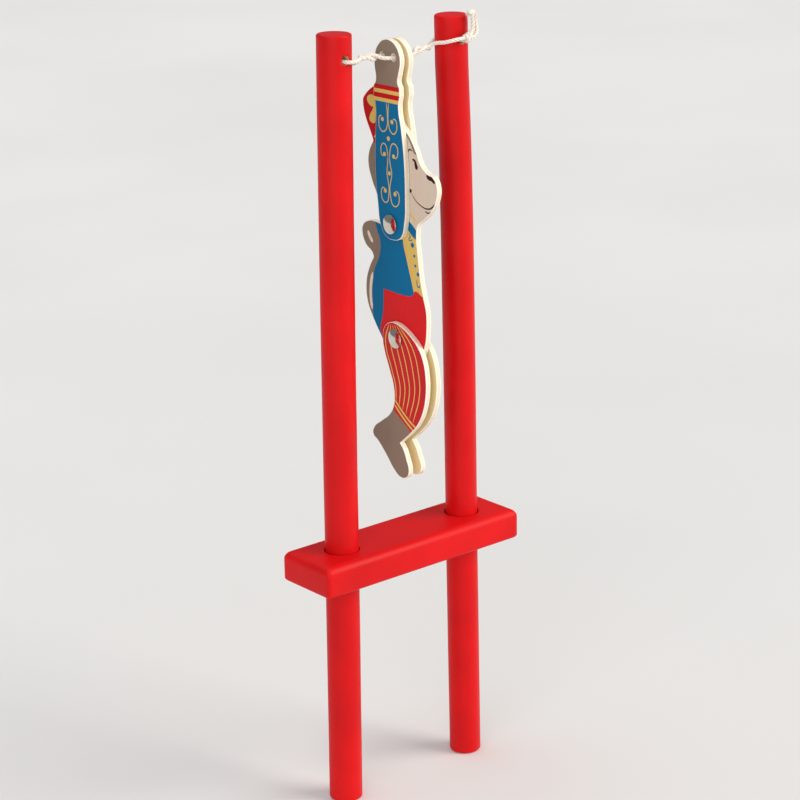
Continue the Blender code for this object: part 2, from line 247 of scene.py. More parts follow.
def printed(name, colour, shade):
    """Screen-printed ink under satin varnish on sanded birch: an even flat colour, a little
    thinner where the wood's grain stands up, with fine grain lines telling through the gloss."""
    made, tree, shader, place = finish(name, Roughness=0.5, IOR=1.45, Specular_IOR_Level=0.12)
    # Grain lines 0.35 mm apart that run 12 mm up the sheet.
    along = add_node(tree, "ShaderNodeMapping", {"Vector": place, "Scale": (1.0, 1.0, 0.03)})
    grain = add_node(
        tree, "ShaderNodeTexNoise",
        {"Vector": along.outputs["Vector"], "Scale": 2800.0, "Detail": 3.0},
    )
    add_node(
        tree, "ShaderNodeValToRGB", {"Fac": grain.outputs["Fac"]}, [(0.25, shade), (0.5, colour)],
        shader.inputs["Base Color"],
    )
    add_node(
        tree, "ShaderNodeBump",
        {"Height": grain.outputs["Fac"], "Strength": 0.12, "Distance": 0.00006},
        to=shader.inputs["Normal"],
    )
    return made


def polished_nickel():
    """Nickel-plated steel rivets: a bright mirror with fine handling scratches."""
    made, tree, shader, place = finish(
        "polished_nickel_plate", Base_Color=linear("#d9d2c6"), Metallic=1.0, Roughness=0.14
    )
    # Scratches 0.2 mm apart and 1.6 mm long, coarser than real ones so that they show.
    along = add_node(tree, "ShaderNodeMapping", {"Vector": place, "Scale": (1.0, 0.12, 1.0)})
    scratch = add_node(
        tree, "ShaderNodeTexNoise",
        {"Vector": along.outputs["Vector"], "Scale": 5200.0, "Detail": 2.0},
    )
    add_node(
        tree, "ShaderNodeMapRange",
        {"Value": scratch.outputs["Fac"], "From Min": 0.35, "From Max": 0.75,
         "To Min": 0.10, "To Max": 0.26},
        to=shader.inputs["Roughness"],
    )
    return made


def drawn_steel():
    """Bright drawn wire for the pivot pins: grey, with fine lines along the pull."""
    made, tree, shader, place = finish(
        "drawn_steel_wire", Base_Color=linear("#b9b9b7"), Metallic=1.0, Roughness=0.35
    )
    # Drawing lines 0.25 mm apart and 5 mm long.
    along = add_node(tree, "ShaderNodeMapping", {"Vector": place, "Scale": (1.0, 0.05, 1.0)})
    lines = add_node(
        tree, "ShaderNodeTexNoise", {"Vector": along.outputs["Vector"], "Scale": 4000.0}
    )
    add_node(
        tree, "ShaderNodeBump",
        {"Height": lines.outputs["Fac"], "Strength": 0.3, "Distance": 0.00003},
        to=shader.inputs["Normal"],
    )
    return made


def cotton():
    """Undyed cotton twine: soft off-white, with painted shade down in the lay between the plies and
    a painted highlight on top of each ply, with a dry fuzz. The lay attribute is 0 between two
    plies and 1 on top of one."""
    made, tree, shader, place = finish(
        "undyed_cotton_twine", Roughness=0.9, IOR=1.45, Sheen_Weight=0.35, Sheen_Roughness=0.6
    )
    lay = add_node(tree, "ShaderNodeAttribute", attribute_name="lay").outputs["Fac"]
    # Painted shade in the lay between two plies, at 0, and a painted highlight on top of a ply, at
    # 1.
    colour = add_node(
        tree, "ShaderNodeValToRGB", {"Fac": lay},
        [(0.0, "#dccfb8"), (0.35, "#efe6d8"), (1.0, "#faf5ec")],
    )
    # Fibres about 0.08 mm across, drawn coarser than cotton's own 0.02 mm so that they show.
    fibre = add_node(tree, "ShaderNodeTexNoise", {"Vector": place, "Scale": 9000.0, "Detail": 3.0})
    tint = add_node(
        tree, "ShaderNodeValToRGB", {"Fac": fibre.outputs["Fac"]},
        [(0.3, "#e6dccb"), (0.6, "#ffffff")],
    )
    both = add_node(
        tree, "ShaderNodeMix", {0: 0.6, 6: colour.outputs["Color"], 7: tint.outputs["Color"]},
        data_type="RGBA", blend_type="MULTIPLY",
    )
    tree.links.new(both.outputs[2], shader.inputs["Base Color"])
    add_node(
        tree, "ShaderNodeBump",
        {"Height": fibre.outputs["Fac"], "Strength": 0.6, "Distance": 0.00008},
        to=shader.inputs["Normal"],
    )
    return made


def studio_floor():
    """Matt pale grey studio paper."""
    made, tree, shader, place = finish("matt_studio_paper", Roughness=0.85)
    # The paper's tone drifts over some 330 mm.
    tone = add_node(tree, "ShaderNodeTexNoise", {"Vector": place, "Scale": 3.0})
    add_node(
        tree, "ShaderNodeValToRGB", {"Fac": tone.outputs["Fac"]},
        [(0.3, "#dedddb"), (0.7, "#e3e2e0")], shader.inputs["Base Color"],
    )
    return made


# ---------------------------------------------------------------- shapes


def store(name, points, faces, finishes, slots=None, smooth=None, **values):
    """Puts points in millimetres and their faces into a mesh in metres at the origin; values are
    per-point numbers that a finish reads."""
    mesh = bpy.data.meshes.new(name)
    mesh.from_pydata((np.asarray(points) * MM).tolist(), [], [list(map(int, f)) for f in faces])
    for each in finishes:
        mesh.materials.append(each)
    if slots is not None:
        mesh.polygons.foreach_set("material_index", np.asarray(slots, np.int32))
    shading = np.ones(len(mesh.polygons), bool) if smooth is None else np.asarray(smooth, bool)
    mesh.polygons.foreach_set("use_smooth", shading)
    for key, value in values.items():
        made = mesh.attributes.new(key, "FLOAT", "POINT")
        made.data.foreach_set("value", np.asarray(value, np.float32))
    mesh.update()
    obj = bpy.data.objects.new(name, mesh)
    bpy.context.scene.collection.objects.link(obj)
    return obj


def unit(rows):
    """Each row at length 1."""
    return rows / np.maximum(np.linalg.norm(rows, axis=1, keepdims=True), 1e-12)


def flowing(points, closed=True, steps=10):
    """A smooth curve through the points. Each stretch is a cubic arc, and at each point both of
    its handles lie along the sum of the unit ways in and out, each 1/2.56 of its stretch long;
    a point with a third entry stays sharp."""
    place = np.array([p[:2] for p in points], float)
    sharp = np.array([len(p) > 2 for p in points])[:, None]
    before, after = np.roll(place, 1, axis=0), np.roll(place, -1, axis=0)
    if not closed:
        before[0] = 2 * place[0] - place[1]
        after[-1] = 2 * place[-1] - place[-2]
    come = np.linalg.norm(place - before, axis=1, keepdims=True)
    go = np.linalg.norm(after - place, axis=1, keepdims=True)
    way = (place - before) / come + (after - place) / go
    way = way / (2.5614 * np.maximum(np.linalg.norm(way, axis=1, keepdims=True), 1e-9))
    left = np.where(sharp, place + (before - place) / 3, place - way * come)
    right = np.where(sharp, place + (after - place) / 3, place + way * go)
    t = np.linspace(0, 1, steps, endpoint=False)[:, None, None]
    arc = (
        (1 - t) ** 3 * place
        + 3 * (1 - t) ** 2 * t * right
        + 3 * (1 - t) * t**2 * np.roll(left, -1, axis=0)
        + t**3 * np.roll(place, -1, axis=0)
    )
    curve = arc.transpose(1, 0, 2).reshape(-1, 2)
    return curve if closed else np.vstack([curve[:-steps], place[-1:]])


def circle(back, up, radius, count=28, squash=1.0):
    """A circle round (back, up): radius times the cosine and sine of even angles."""
    angle = np.linspace(0, 2 * pi, count, endpoint=False)
    return np.stack(
        [back + radius * np.cos(angle), up + radius * squash * np.sin(angle)], axis=1
    )


def line_of_ink(points, width, start=1.0, end=1.0):
    """The outline of a drawn line: a smooth curve, pushed out to both sides by half its width
    there, which goes evenly from start to end as shares of the full width, with round ends."""
    path = flowing(points, closed=False, steps=8)
    way = unit(np.gradient(path, axis=0))
    aside = np.stack([-way[:, 1], way[:, 0]], axis=1)
    share = np.linspace(0, 1, len(path))
    swell = start + (end - start) * share
    ends = np.minimum(share, 1 - share) * len(path) / 3
    half = (width / 2 * swell * np.sqrt(np.clip(ends, 0.12, 1)))[:, None]
    return np.vstack([path + aside * half, (path - aside * half)[::-1]])


def inside(points, loop):
    """Which points a closed loop goes round: the signed count of its crossings of a level ray from
    each point isn't zero."""
    start, stop = loop, np.roll(loop, -1, axis=0)
    level = points[:, 1:2]
    side = (stop[:, 0] - start[:, 0]) * (level - start[:, 1]) - (
        points[:, 0:1] - start[:, 0]
    ) * (stop[:, 1] - start[:, 1])
    rising = (start[:, 1] <= level) & (stop[:, 1] > level) & (side > 0)
    falling = (start[:, 1] > level) & (stop[:, 1] <= level) & (side < 0)
    return rising.sum(axis=1) != falling.sum(axis=1)


def outward(loop):
    """Outward sideways steps of a loop that runs round its own left side: the sum of the two
    neighbouring unit normals over half its squared length, so that a corner keeps its mitre."""
    way = unit(np.roll(loop, -1, axis=0) - loop)
    after = np.stack([way[:, 1], -way[:, 0]], axis=1)
    total = after + np.roll(after, 1, axis=0)
    return 2 * total / np.maximum((total**2).sum(axis=1, keepdims=True), 1.2)


def anticlockwise(loop):
    """The loop turned so that its area, half the sum of its cross products, is positive."""
    after = np.roll(loop, -1, axis=0)
    area = (loop[:, 0] * after[:, 1] - loop[:, 1] * after[:, 0]).sum()
    return loop if area > 0 else loop[::-1]


def fill(loops, lines=(), dots=None):
    """Triangles inside the first loop and outside the others, with each loop and line as edges
    and each dot as a corner: a Delaunay mesh of all of them, less what lies outside."""
    rings = [*loops, *lines]
    starts = np.cumsum([0, *map(len, rings)])
    edges = [
        (int(first + k), int(first + (k + 1) % len(ring)))
        for first, ring in zip(starts, rings)
        for k in range(len(ring))
    ]
    points = np.vstack([*rings, *([dots] if dots is not None else [])])
    corners, _, faces, *_ = delaunay_2d_cdt(
        [Vector(p) for p in points.tolist()], edges, [], 0, 1e-5
    )
    corners, faces = np.array([tuple(c) for c in corners]), np.array(faces)
    a, b, c = (corners[faces[:, k]] for k in range(3))
    area = (b - a)[:, 0] * (c - a)[:, 1] - (b - a)[:, 1] * (c - a)[:, 0]
    faces[area < 0] = faces[area < 0][:, ::-1]
    middle = (a + b + c) / 3
    keep = inside(middle, loops[0])
    for hole in loops[1:]:
        keep &= ~inside(middle, hole)
    used, faces = np.unique(faces[keep], return_inverse=True)
    return corners[used], faces.reshape(-1, 3), middle[keep]


def border(faces):
    """The directed edges that only one triangle has."""
    ends = np.concatenate([faces[:, [0, 1]], faces[:, [1, 2]], faces[:, [2, 0]]])
    _, index, count = np.unique(
        np.sort(ends, axis=1), axis=0, return_inverse=True, return_counts=True
    )
    return ends[count[index.reshape(-1)] == 1]


def rounded(low, high, lower, upper, steps=5):
    """A wall's section as (inset, level) from its upper face to its lower one: a quarter circle of
    radius upper, the straight wall, and a quarter circle of radius lower."""
    turn = np.linspace(0, pi / 2, steps)
    widest = max(lower, upper)
    top = np.stack([upper - upper * np.sin(turn), high - upper + upper * np.cos(turn)], axis=1)
    foot = np.stack(
        [lower - lower * np.cos(turn), low + lower - lower * np.sin(turn)], axis=1
    )
    return np.vstack([(widest, high), top, foot, (widest, low)])


def sheet_of_wood(outline, holes, prints, edge, rim):
    """A flat piece as (points, faces, colours): its two faces are filled inside its outline,
    less its holes, and between them each border point is carried round the edge's section, or
    round the rim's where it is on a hole. Colours numbers the last print that covers each
    triangle, from 1, and is 0 where none does."""
    outer = anticlockwise(outline)
    start, reach = edge[0, 0], rim[0, 0]
    loops = [outer - outward(outer) * start]
    loops += [anticlockwise(h) + outward(anticlockwise(h)) * reach for h in holes]
    flat, faces, middle = fill(loops, prints)
    colours = np.zeros(len(faces), int)
    for number, shape in enumerate(prints, 1):
        colours[inside(middle, shape)] = number
    ends = border(faces)
    ring, ends = np.unique(ends, return_inverse=True)
    ends = ends.reshape(-1, 2)
    way = unit(flat[ring[ends[:, 1]]] - flat[ring[ends[:, 0]]])
    normal = np.stack([way[:, 1], -way[:, 0]], axis=1)
    total = np.zeros((len(ring), 2))
    np.add.at(total, ends[:, 0], normal)
    np.add.at(total, ends[:, 1], normal)
    total = 2 * total / np.maximum((total**2).sum(axis=1, keepdims=True), 1.2)
    gaps = [
        np.linalg.norm(flat[ring][:, None] - loop[None], axis=2).min(axis=1) for loop in loops
    ]
    on_hole = (np.argmin(gaps, axis=0) > 0)[:, None]
    count, size = len(flat), len(ring)
    walls = []
    for (out, level), (in_rim, rim_level) in zip(edge[1:-1], rim[1:-1]):
        step = np.where(on_hole, reach - in_rim, start - out)
        height = np.where(on_hole, rim_level, level)
        walls.append(np.hstack([flat[ring] + total * step, height]))
    top = np.hstack([flat, np.full((count, 1), edge[0, 1])])
    foot = np.hstack([flat, np.full((count, 1), edge[-1, 1])])
    points = np.vstack([top, foot, *walls])
    rows = [ring, *(2 * count + size * k + np.arange(size) for k in range(len(walls))),
            count + ring]
    quads = np.vstack([
        np.stack([row[ends[:, 1]], row[ends[:, 0]], under[ends[:, 0]], under[ends[:, 1]]], axis=1)
        for row, under in zip(rows, rows[1:])
    ])
    back = faces[:, ::-1] + count
    return points, [*faces.tolist(), *back.tolist(), *quads.tolist()], colours


def mesh_round(rows, count):
    """The quads of a tube whose rows of count points close round: each joins two neighbours of one
    row to the same two of the next."""
    k, j = np.meshgrid(np.arange(rows - 1), np.arange(count), indexing="ij")
    after = (j + 1) % count
    return np.stack(
        [k * count + j, k * count + after, (k + 1) * count + after, (k + 1) * count + j], axis=-1
    ).reshape(-1, 4)


def revolved(profile, centre, way):
    """A turned piece: each (radius, height) of its profile is carried round the axis through
    centre along way, height out along it; ends at radius 0 are closed with one point. The radius
    ripples by 0.4% three times round, as stamped metal does."""
    count, ripple = 48, 0.004
    way = np.array(way, float)
    side = np.array([0.0, 0.0, 1.0]) if abs(way[2]) < 0.5 else np.array([0.0, 1.0, 0.0])
    other = np.cross(way, side)
    angle = np.linspace(0, 2 * pi, count, endpoint=False)[None, :]
    radius = np.array(profile)[:, 0:1] * (1 + ripple * np.sin(3 * angle + 0.6))
    height = np.array(profile)[:, 1:2] + 0 * angle
    points = (
        np.array(centre)
        + (radius * np.cos(angle))[..., None] * side
        + (radius * np.sin(angle))[..., None] * other
        + height[..., None] * way
    ).reshape(-1, 3)
    quads = mesh_round(len(profile), count)
    return welded(points, np.vstack([quads[:, [0, 3, 2]], quads[:, [0, 2, 1]]]))


def welded(points, faces):
    """Points nearer than a ten-thousandth of a millimetre made one, and faces that shrank to a
    line dropped."""
    _, first, index = np.unique(
        np.round(points / 1e-4).astype(np.int64), axis=0, return_index=True, return_inverse=True
    )
    faces = index.reshape(-1)[faces]
    whole = (
        (faces[:, 0] != faces[:, 1]) & (faces[:, 1] != faces[:, 2]) & (faces[:, 0] != faces[:, 2])
    )
    return points[first], faces[whole]


def merged(obj):
    """Points nearer than two thousandths of a millimetre made one, which closes the seam."""
    build = bmesh.new()
    build.from_mesh(obj.data)
    bmesh.ops.remove_doubles(build, verts=build.verts, dist=0.002 * MM)
    build.to_mesh(obj.data)
    build.free()
    return obj


def dipped_pole(name, side, length, thick, bow, crook):
    """A dowel as a skin over (way round, way along): the way along follows its section from the
    middle of one end, out, up the side and back in, so radius and height are functions of it. The
    radius swells and dips a few hundredths as dipped wood does. The string's hole is cut from the
    skin, and its wall runs straight through from front to back with a broken edge."""
    radius, soft, around, bore_sides = thick / 2, 0.9, 72, 36
    turn = np.linspace(0, pi / 2, 7)
    out = np.concatenate([[0, 2.2, 4.2], radius - soft + soft * np.sin(turn)])
    rise = np.concatenate([[0, 0, 0], soft - soft * np.cos(turn)])
    section = np.stack([
        np.concatenate([out, out[::-1]]), np.concatenate([rise, length - rise[::-1]])
    ], axis=1)
    far = np.append(0, np.cumsum(np.linalg.norm(np.diff(section, axis=0), axis=1)))

    def skin(turned, along):
        """Points in the row frame from the angle round and the way along."""
        wide = np.interp(along, far, section[:, 0])
        up = np.interp(along, far, section[:, 1])
        wave = np.sin(2 * turned + up / 23 + side) + np.sin(3 * turned - up / 31 + 2 * side)
        wide = wide * (1 + 0.0028 * wave + 0.0016 * np.sin(up / 7.5 + turned))
        z = up - POLE_BELOW_PIVOT
        bent = bow * np.sin(pi * np.clip(z, 0, None) / (length - POLE_BELOW_PIVOT))
        bent = side * (bent - crook * np.clip((z - CROOK_FROM) / CROOK_SPAN, 0, 1) ** 2)
        return leaning(wide * np.cos(turned) + bent, wide * np.sin(turned), z)

    def leaning(x, y, z):
        """Upright places about the pivot turned by the pole's lean and moved to the row frame."""
        lean = -side * TOE_IN
        return np.stack([
            side * PIVOT[0] + x * cos(lean) + z * sin(lean), y,
            PIVOT[2] - x * sin(lean) + z * cos(lean),
        ], axis=-1)

    # The straight side runs from the end of the first rounding to the start of the second.
    low = len(out) - 1
    straight = np.linspace(far[low], far[low + 1], 118)
    rows = np.concatenate([far[:low], straight, far[low + 2 :]])
    angles = np.linspace(-pi, pi, around + 1)
    rim, bore = STRING_HOLE / 2 + 0.2, STRING_HOLE / 2
    t = np.linspace(0, 2 * pi, bore_sides, endpoint=False)
    height = length - HOLE_BELOW_TOP
    along_hole = far[low] + height - soft + rim * np.sin(t)
    tilt = np.arcsin(rim * np.cos(t) / radius)
    mouths = [-pi / 2 + tilt, pi / 2 - tilt]
    frame_loop = np.vstack([
        np.stack([angles[:-1], np.full(around, rows[0])], axis=1),
        np.stack([np.full(len(rows) - 1, pi), rows[:-1]], axis=1),
        np.stack([angles[:0:-1], np.full(around, rows[-1])], axis=1),
        np.stack([np.full(len(rows) - 1, -pi), rows[:0:-1]], axis=1),
    ]) * (radius, 1)
    holes = [np.stack([m * radius, along_hole], axis=1) for m in mouths]
    grid = np.stack(np.meshgrid(angles[1:-1] * radius, rows[1:-1]), axis=-1).reshape(-1, 2)
    clear = np.min([
        np.hypot(grid[:, 0] - m.mean() * radius, grid[:, 1] - along_hole.mean()) for m in mouths
    ], axis=0)
    flat, faces, _ = fill([frame_loop, *holes], dots=grid[clear > rim + 0.35])
    points = skin(flat[:, 0] / radius, flat[:, 1])
    deep = np.sqrt(radius**2 - bore**2) - 0.35
    local = height - POLE_BELOW_PIVOT
    off = side * (bow * sin(pi * local / (length - POLE_BELOW_PIVOT)) - crook)
    bored = [
        leaning(bore * np.cos(t) + off, np.full(bore_sides, y), local + bore * np.sin(t))
        for y in (-deep, deep)
    ]
    wall = np.stack([skin(mouths[0], along_hole), *bored, skin(mouths[1], along_hole)])
    quads = mesh_round(len(wall), bore_sides) + len(points)
    slots = [0] * len(faces) + [1] * len(quads)
    obj = store(
        name, np.vstack([points, wall.reshape(-1, 3)]), [*faces.tolist(), *quads.tolist()],
        [RED_LACQUER, BARE_BEECH], slots,
    )
    return merged(obj)


def route(points):
    """Points every 0.2 mm along a smooth curve through the given ones: on each stretch the cubic
    whose slope at a point is half the step between that point's two neighbours."""
    points = np.array(points, float)
    ends = np.vstack([2 * points[0] - points[1], points, 2 * points[-1] - points[-2]])
    before, start, stop, after = ends[:-3], ends[1:-2], ends[2:-1], ends[3:]
    t = np.linspace(0, 1, 24, endpoint=False)[:, None, None]
    curve = 0.5 * (
        2 * start
        + (stop - before) * t
        + (2 * before - 5 * start + 4 * stop - after) * t**2
        + (3 * start - before - 3 * stop + after) * t**3
    )
    dense = np.vstack([curve.transpose(1, 0, 2).reshape(-1, 3), points[-1:]])
    along = np.append(0, np.cumsum(np.linalg.norm(np.diff(dense, axis=0), axis=1)))
    wanted = np.linspace(0, along[-1], round(along[-1] / 0.2) + 1)
    return np.stack([np.interp(wanted, along, dense[:, k]) for k in range(3)], axis=1)


def twined(path):
    """Lays a strand round its twin between a hand and a pole: with w rising from 0 to 1 past the
    hand and falling again before the pole, its sideways place goes to 0.68 mm times the sine of an
    angle that turns once in 9 mm, and its height gains 0.68 mm times the cosine."""
    reach, pitch = 0.68, 9
    away = np.abs(path[:, 0])
    rise = np.clip((away - HAND_SIDE) / 3, 0, 1)
    fall = np.clip((20 - away) / 4, 0, 1)
    share = (rise * rise * (3 - 2 * rise)) * (fall * fall * (3 - 2 * fall))
    angle = np.sign(path[:, 1]) * pi / 2 + 2 * pi * (away - 8) / pitch
    laid = path.copy()
    laid[:, 1] = path[:, 1] * (1 - share) + share * reach * np.sin(angle)
    laid[:, 2] = path[:, 2] + share * reach * np.cos(angle)
    return laid


def strand(path, up=(0, 0, 1), start=0.0):
    """The twisted string along a path as (points, faces, lay): at each ring the radius is half its
    thickness times 0.93 plus 0.07 times the cosine of the plies' count times the angle less the
    twist, which turns once in a lay; up sets the rings' frames, and the ends are closed."""
    sides = 24
    gone = start + np.append(0, np.cumsum(np.linalg.norm(np.diff(path, axis=0), axis=1)))
    way = unit(np.gradient(path, axis=0))
    across = unit(np.cross(way, np.array(up, float)[None]))
    over = np.cross(way, across)
    angle = np.linspace(0, 2 * pi, sides, endpoint=False)[None, :]
    crest = np.cos(STRING_PLIES * (angle - 2 * pi * gone[:, None] / STRING_LAY))
    radius = STRING_THICK / 2 * (0.93 + 0.07 * crest)
    points = (
        path[:, None] + (radius * np.cos(angle))[..., None] * across[:, None]
        + (radius * np.sin(angle))[..., None] * over[:, None]
    ).reshape(-1, 3)
    quads = mesh_round(len(path), sides)
    first, last = len(points), len(points) + 1
    caps = [[first, (n + 1) % sides, n] for n in range(sides)]
    base = (len(path) - 1) * sides
    caps += [[last, base + n, base + (n + 1) % sides] for n in range(sides)]
    points = np.vstack([points, path[:1], path[-1:]])
    crest = np.append(crest.reshape(-1) * 0.5 + 0.5, [0.5, 0.5])
    return points, [*quads.tolist(), *caps], crest


def together(*parts):
    """Several (points, faces, lay) as one."""
    starts = np.cumsum([0, *[len(part[0]) for part in parts]])
    faces = [
        [int(corner + start) for corner in face]
        for start, part in zip(starts, parts)
        for face in part[1]
    ]
    return np.vstack([p[0] for p in parts]), faces, np.concatenate([p[2] for p in parts])


def loose_fibres(root, way, count, length, lean, seed):
    """A frayed end: fibres that start close together at the root and part toward their tips. Fibre
    i at share t is at root + way times length_i times t, plus its own sideways step times spread
    times t squared, plus lean times t cubed; each is a tapering five-sided thread."""
    spread, thick = 0.6, 0.16
    dice = np.random.default_rng(seed)
    way = np.array(way, float) / np.linalg.norm(way)
    side = np.cross(way, [0, 1, 0])
    side = side / np.linalg.norm(side)
    other = np.cross(way, side)
    steps = dice.normal(0, 1, (count, 2))
    steps /= np.maximum(np.linalg.norm(steps, axis=1, keepdims=True), 1)
    own = steps[:, :1] * side + steps[:, 1:] * other
    t = np.linspace(0, 1, 10)[None, :, None]
    reach = (length * dice.uniform(0.55, 1.0, count))[:, None, None]
    curl = 0.18 * np.sin(2 * pi * t * dice.uniform(0.5, 1.4, (count, 1, 1)) + steps[:, :1, None])
    path = (
        np.array(root, float) + way * reach * t + own[:, None] * (0.28 + spread * t**2 + curl * t)
        + np.array(lean, float) * t**3
    )
    angle = np.linspace(0, 2 * pi, 5, endpoint=False)[None, None, :, None]
    fine = (thick / 2 * (1 - 0.75 * t))[..., None]
    rings = path[:, :, None] + fine * (np.cos(angle) * side + np.sin(angle) * other)
    points = rings.reshape(-1, 3)
    f, k, j = np.meshgrid(np.arange(count), np.arange(9), np.arange(5), indexing="ij")
    base, after = (f * 10 + k) * 5, (j + 1) % 5
    quads = np.stack([base + j, base + after, base + 5 + after, base + 5 + j], axis=-1)
    ends = [[*range(n * 50 + 4, n * 50 - 1, -1)] for n in range(count)]
    ends += [[*range(n * 50 + 45, n * 50 + 50)] for n in range(count)]
    return points, [*quads.reshape(-1, 4).tolist(), *ends], dice.uniform(0.6, 1, len(points))


# ---------------------------------------------------------------- finishes in use

RED_LACQUER = dipped_paint()
BARE_BEECH = bare_beech()
PLY_EDGE = sawn_ply()
NICKEL = polished_nickel()
STEEL = drawn_steel()
COTTON = cotton()
INKS = {
    "bare": printed("varnished_birch_face", "#e9d6a6", "#decb98"),
    "blue": printed("blue_screen_ink", "#00709f", "#006997"),
    "gold": printed("ochre_gold_screen_ink", "#dfc368", "#d7bb5f"),
    "red": printed("red_screen_ink", "#cb2a2e", "#c2262a"),
    "crimson": printed("crimson_screen_ink", "#c30b13", "#ba0a12"),
    "scarlet": printed("scarlet_screen_ink", "#dc2226", "#d21e22"),
    "taupe": printed("taupe_screen_ink", "#8f7f6d", "#877765"),
    "beige": printed("beige_screen_ink", "#d9ceb9", "#d2c6b0"),
    "brown": printed("dark_brown_screen_ink", "#3a1b1e", "#34181a"),
    "blush": printed("pale_blush_screen_ink", "#f3e2d0", "#eedac6"),
}

# ---------------------------------------------------------------- camera


def look_from_the_side():
    """A long lens a little above the toy, looking past its left front corner."""
    camera = bpy.data.objects.new("camera", bpy.data.cameras.new("camera"))
    bpy.context.scene.collection.objects.link(camera)
    azimuth, elevation, roll = radians(-40.05), radians(17.93), radians(-0.95)
    back = Vector((
        sin(azimuth) * cos(elevation), -cos(azimuth) * cos(elevation), sin(elevation)
    ))
    right = Vector((0, 0, 1)).cross(back).normalized()
    up = back.cross(right)
    across = right * cos(roll) + up * sin(roll)
    above = up * cos(roll) - right * sin(roll)
    camera.matrix_world = Matrix.Translation((-0.55656, -0.66167, 0.34468)) @ Matrix(
        (across, above, back)
    ).transposed().to_4x4()
    camera.data.sensor_width = 36.0
    camera.data.lens = 106.95
    camera.data.clip_start = 0.05
    bpy.context.scene.camera = camera


look_from_the_side()

# ---------------------------------------------------------------- outlines and prints

# Outlines in millimetres: toward the monkey's back, then up; c marks a sharp corner. The hand is
# measured from the string, the upper arm and the torso from the shoulder rivet, the seat and the
# leg from the hip rivet.
HAND_FRONT = [
    (-5.5, -17.4), (-6.3, -14.0, "c"), (-6.2, -10.9, "c"), (-5.2, -8.9), (-5.8, -6.0),
    (-6.9, -1.8), (-6.5, 1.4), (-4.5, 4.5), (-1.6, 6.1),
]
HAND_BACK = [
    (1.8, 6.2), (5.3, 4.1), (7.4, 0.5), (7.8, -3.3), (7.3, -9.8), (8.4, -11.2, "c"),
    (8.7, -15.0, "c"), (7.8, -17.6),
]
UPPER_ARM = [
    (8.2, 30.0), (8.4, 18.0), (7.3, 7.0), (5.9, -1.2), (3.2, -4.9), (-1.4, -5.9), (-5.7, -4.3),
    (-8.1, 2.0), (-8.7, 12.0), (-8.3, 26.0), (-7.0, 36.4),
]
TORSO_BACK = [
    (9.0, -1.6, "c"), (12.0, -1.2), (16.1, -1.7), (19.3, -3.9), (19.8, -6.9),
    (17.8, -11.1), (13.9, -13.9), (13.3, -15.4, "c"), (16.0, -19.9), (17.9, -25.6),
    (17.5, -33.2), (14.6, -39.0),
]
SEAT = [
    (11.0, -2.3), (7.4, -6.9), (2.0, -9.4), (-4.5, -9.9), (-10.8, -7.0), (-14.2, -0.5),
    (-15.2, 5.6),
]
TORSO_FRONT = [
    (-16.9, -31.0), (-15.6, -26.6), (-13.9, -20.0), (-12.6, -11.0), (-11.9, -2.0), (-12.9, 1.5),
    (-16.0, 3.8), (-20.7, 8.1), (-23.3, 12.6), (-23.8, 17.2), (-21.9, 20.6), (-18.3, 21.6),
    (-14.6, 24.4), (-12.4, 28.6), (-9.2, 33.4), (-5.2, 37.4), (-2.8, 40.2, "c"),
    (3.0, 54.2, "c"), (17.3, 45.6), (17.9, 43.8), (12.2, 29.6, "c"), (14.6, 25.6),
    (15.4, 20.8), (13.3, 14.2), (10.6, 9.0), (9.4, 3.0),
]
LEG = [
    (-0.8, 5.9), (-4.6, 4.7), (-8.9, 2.4), (-13.0, -1.0), (-15.6, -5.2), (-17.1, -11.8),
    (-17.0, -19.0), (-15.1, -26.1), (-12.0, -31.6), (-8.2, -35.6), (-1.6, -41.3, "c"),
    (-3.5, -43.4), (-5.2, -47.0), (-6.5, -52.0), (-4.8, -54.6), (-1.4, -55.2), (1.6, -53.6),
    (7.4, -47.5), (11.6, -43.6), (14.6, -41.3), (13.8, -38.4), (9.6, -35.0), (4.4, -31.0),
    (2.1, -27.4), (1.4, -23.3), (1.9, -18.8), (3.9, -13.4), (6.8, -6.2), (7.7, -1.6),
    (6.6, 3.2), (3.0, 5.8),
]

